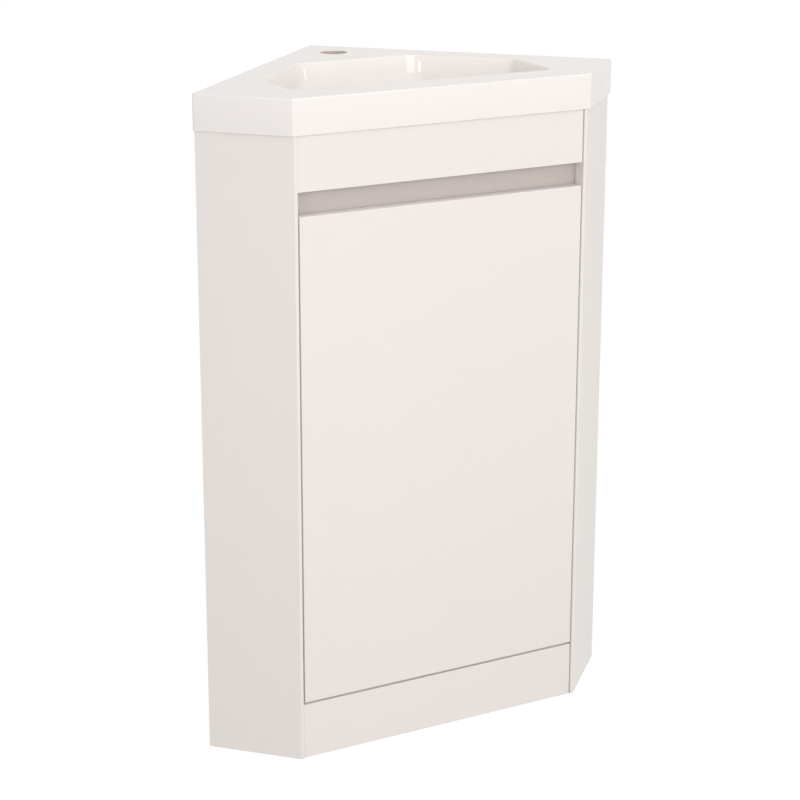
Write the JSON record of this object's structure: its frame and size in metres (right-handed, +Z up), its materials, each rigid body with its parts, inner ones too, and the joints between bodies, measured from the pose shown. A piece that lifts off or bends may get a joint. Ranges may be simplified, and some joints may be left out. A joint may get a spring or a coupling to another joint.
{
  "type": "corner vanity unit",
  "caption": "Corner washbasin cabinet with a five-sided basin, short angled side panels and a flush door under a full-width finger recess.",
  "frame": {"origin": "centre of the bounding box in plan, on the floor under the cabinet", "axes": "+Z up, the door and the basin's long front face look along -Y, the corner of the room is at +Y, and x = 0 is the middle of the front"},
  "size_m": [0.5898, 0.384, 0.845],
  "materials": {
    "gloss_board": "warm white gloss lacquer on MDF",
    "inner_board": "white melamine on chipboard, satin",
    "basin": "gloss white gel coat on cast marble resin",
    "nylon": "moulded white nylon",
    "zinc_steel": "zinc plated",
    "nickel_steel": "nickel plated, satin",
    "chrome": "polished chrome plate on brass",
    "beech": "fluted beech",
    "rubber": "black moulded rubber",
    "clear_buffer": "clear soft dome"
  },
  "bodies": {
    "root": {"left_side_panel": "gloss_board", "right_side_panel": "gloss_board", "fascia_panel": "gloss_board", "recess_rail": "gloss_board", "plinth_board": "gloss_board", "bottom_panel": "inner_board", "shelf": "inner_board", "shelf_pins": "nickel_steel", "right_rear_leg": "inner_board", "left_rear_leg": "inner_board", "upper_back_rail_right": "inner_board", "upper_back_rail_left": "inner_board", "lower_back_rail_right": "inner_board", "lower_back_rail_left": "inner_board", "corner_blocks": "nylon", "block_screws": "zinc_steel", "rail_brackets": "zinc_steel", "bracket_screws": "zinc_steel", "fascia_screws": "zinc_steel", "cam_locks": "zinc_steel", "cam_bolts": "zinc_steel", "dowels": "beech", "basin": "basin", "waste_body": "chrome", "waste_top_seal": "rubber", "waste_lower_seal": "rubber", "waste_back_nut": "chrome", "hinge_arms": "nickel_steel", "hinge_plates": "nickel_steel", "hinge_plate_screws": "nickel_steel"},
    "door": {"door_panel": "gloss_board", "door_buffers": "clear_buffer", "hinge_cups": "nickel_steel", "hinge_cup_screws": "nickel_steel"},
    "plug": {"waste_plug": "chrome"}
  },
  "joints": [
    {"name": "door_hinge", "type": "hinge", "parent": "root", "child": "door", "pos_m": [-0.19711, -0.18698, 0.389], "axis": [0, 0, -1], "range_deg": [0, 95]},
    {"name": "plug_slide", "type": "slide", "parent": "root", "child": "plug", "axis": [0, 0, 1], "range_m": [0, 0.008]}
  ]
}
